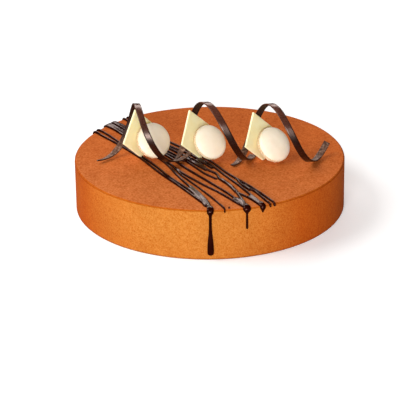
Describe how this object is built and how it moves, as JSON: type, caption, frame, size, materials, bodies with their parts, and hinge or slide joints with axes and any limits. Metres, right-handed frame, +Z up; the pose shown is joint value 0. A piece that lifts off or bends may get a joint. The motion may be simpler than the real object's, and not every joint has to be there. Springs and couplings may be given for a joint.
{
  "type": "tiramisu cake",
  "caption": "Round uncut tiramisu cake with a velvety caramel-brown coat, dark chocolate drizzle, and tiles of white chocolate, macaron shells and chocolate curls on top.",
  "frame": {"origin": "middle of the cake's flat underside", "axes": "+Z up, +X along the row of decorations to the right as seen from the front, +Y to the back"},
  "size_m": [0.2, 0.2023, 0.0844],
  "materials": {
    "cake": "velvet cocoa butter spray with a fine matte grain",
    "white_chocolate": "satin ivory chocolate",
    "macaron": "smooth eggshell cream dome on a ruffled foot",
    "dark_chocolate": "glossy tempered dark chocolate"
  },
  "bodies": {
    "root": {"cake": "cake", "white_tile_left": "white_chocolate", "macaron_shell_left": "macaron", "chocolate_curl_left": "dark_chocolate", "white_tile_middle": "white_chocolate", "macaron_shell_middle": "macaron", "chocolate_curl_middle": "dark_chocolate", "white_tile_right": "white_chocolate", "macaron_shell_right": "macaron", "chocolate_curl_right": "dark_chocolate"}
  },
  "joints": []
}
